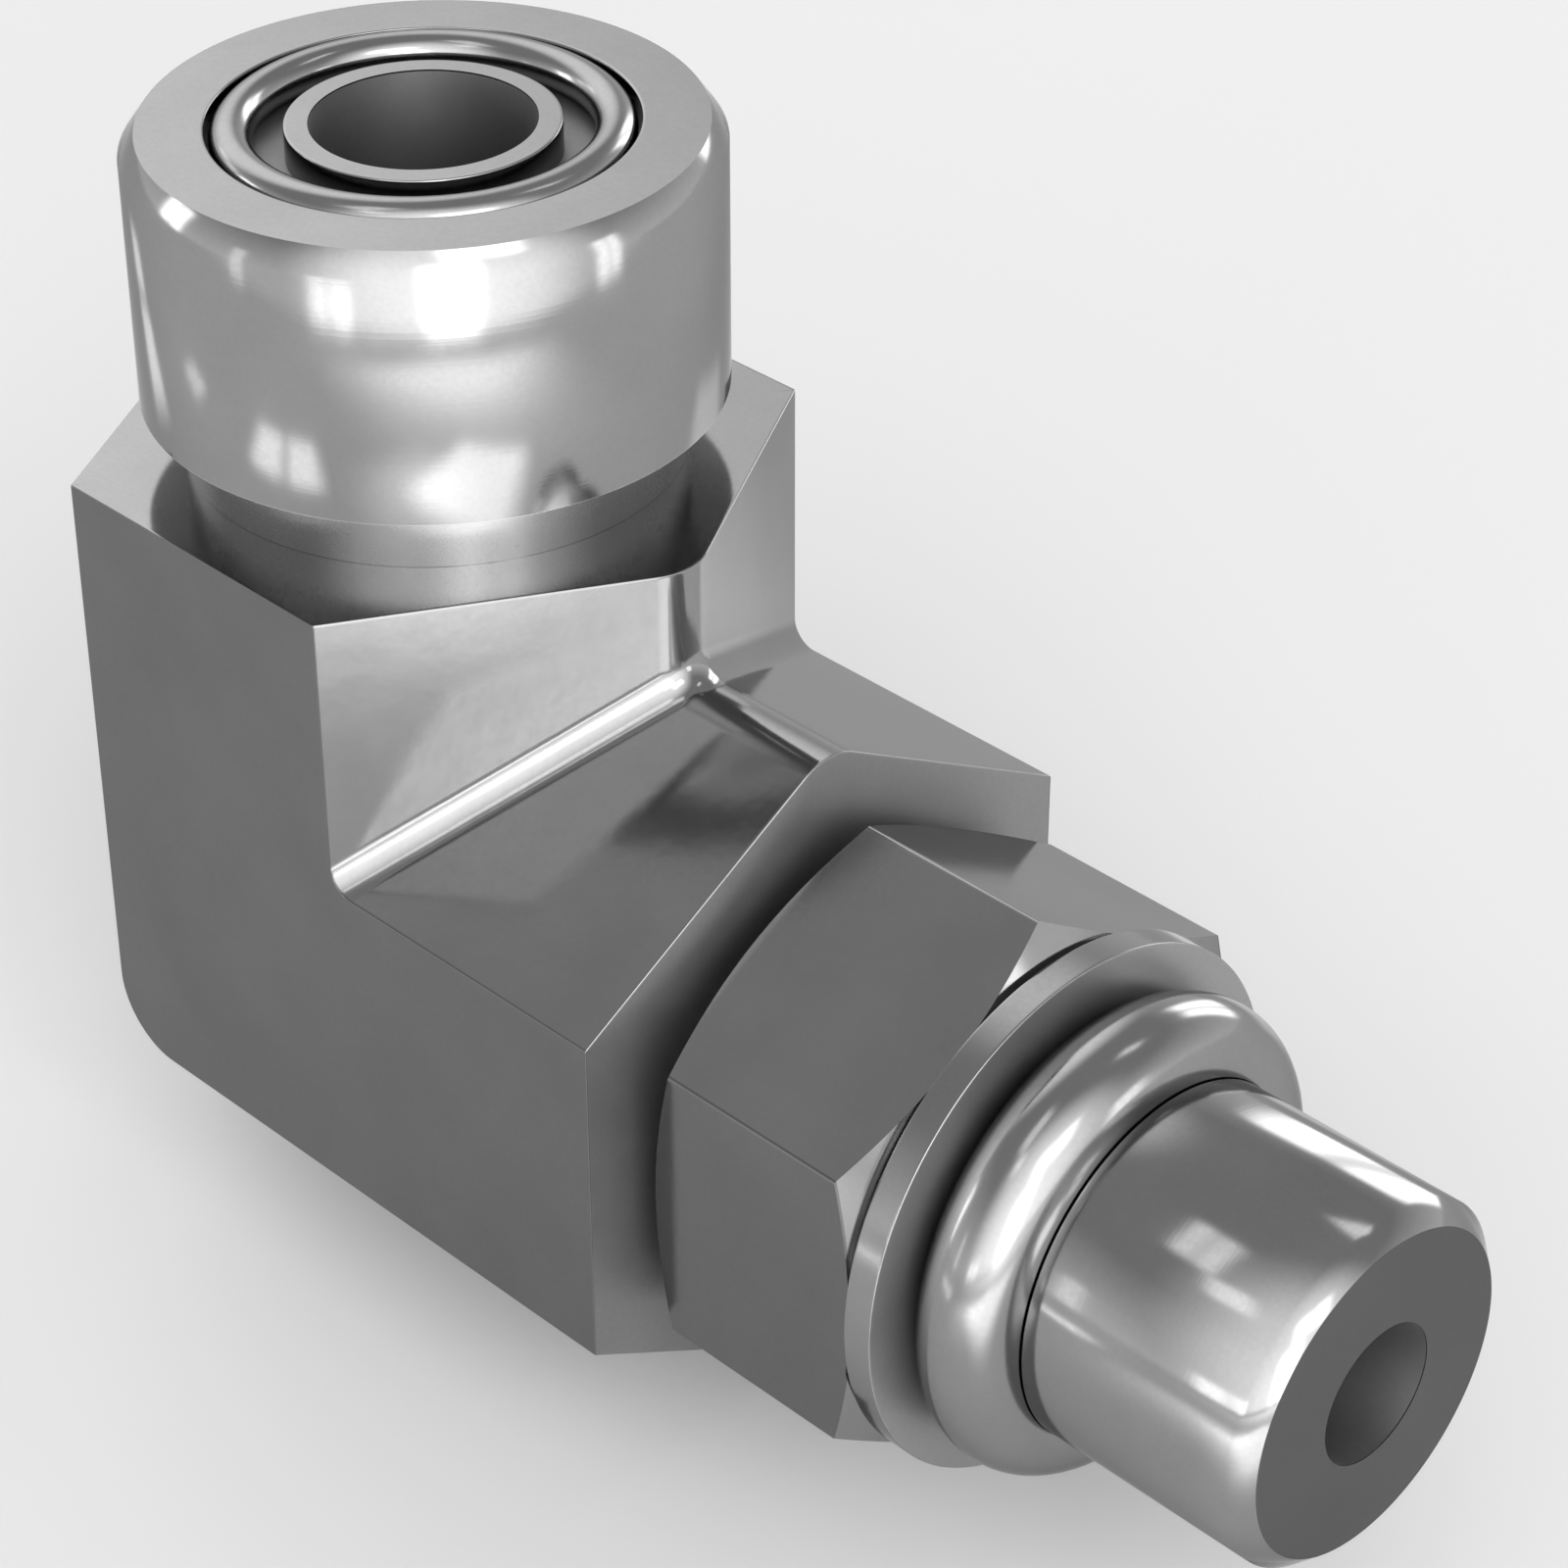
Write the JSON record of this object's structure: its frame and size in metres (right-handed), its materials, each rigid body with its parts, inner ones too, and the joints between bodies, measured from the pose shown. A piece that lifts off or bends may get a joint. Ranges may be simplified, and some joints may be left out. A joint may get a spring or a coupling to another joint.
{
  "type": "hydraulic elbow fitting",
  "caption": "Ninety degree hydraulic elbow: a face seal barrel on one hexagonal arm, and an adjustable port stud with lock nut, backup washer and seal ring on the other.",
  "frame": {"origin": "where the axes of the two arms cross, inside the face seal arm's flow bore", "axes": "+Z along the face seal arm towards its sealing face, +X along the port stud towards its end, Y square to both"},
  "size_m": [0.0477, 0.019, 0.0361],
  "materials": {
    "plated_steel": "bright plated, smooth and glossy",
    "nut_steel": "bright plated, smooth and glossy",
    "washer_steel": "bright plated, smooth and glossy",
    "seal": null
  },
  "bodies": {
    "elbow": {"elbow_body": "plated_steel", "face_seal_o_ring": "seal", "stud_o_ring": "seal"},
    "washer": {"backup_washer": "washer_steel"},
    "nut": {"lock_nut": "nut_steel"}
  },
  "joints": [
    {"name": "washer_slide", "type": "slide", "parent": "elbow", "child": "washer", "axis": [1, 0, 0], "range_m": [-0.000876, 0]},
    {"name": "nut_turn", "type": "hinge", "parent": "washer", "child": "nut", "pos_m": [0.02105, 0, 0], "axis": [1, 0, 0], "range_deg": [-248, 0]}
  ],
  "couplings": [
    {"joint": "washer_slide", "follows": "nut_turn", "m_per_rad": 0.00020213}
  ]
}
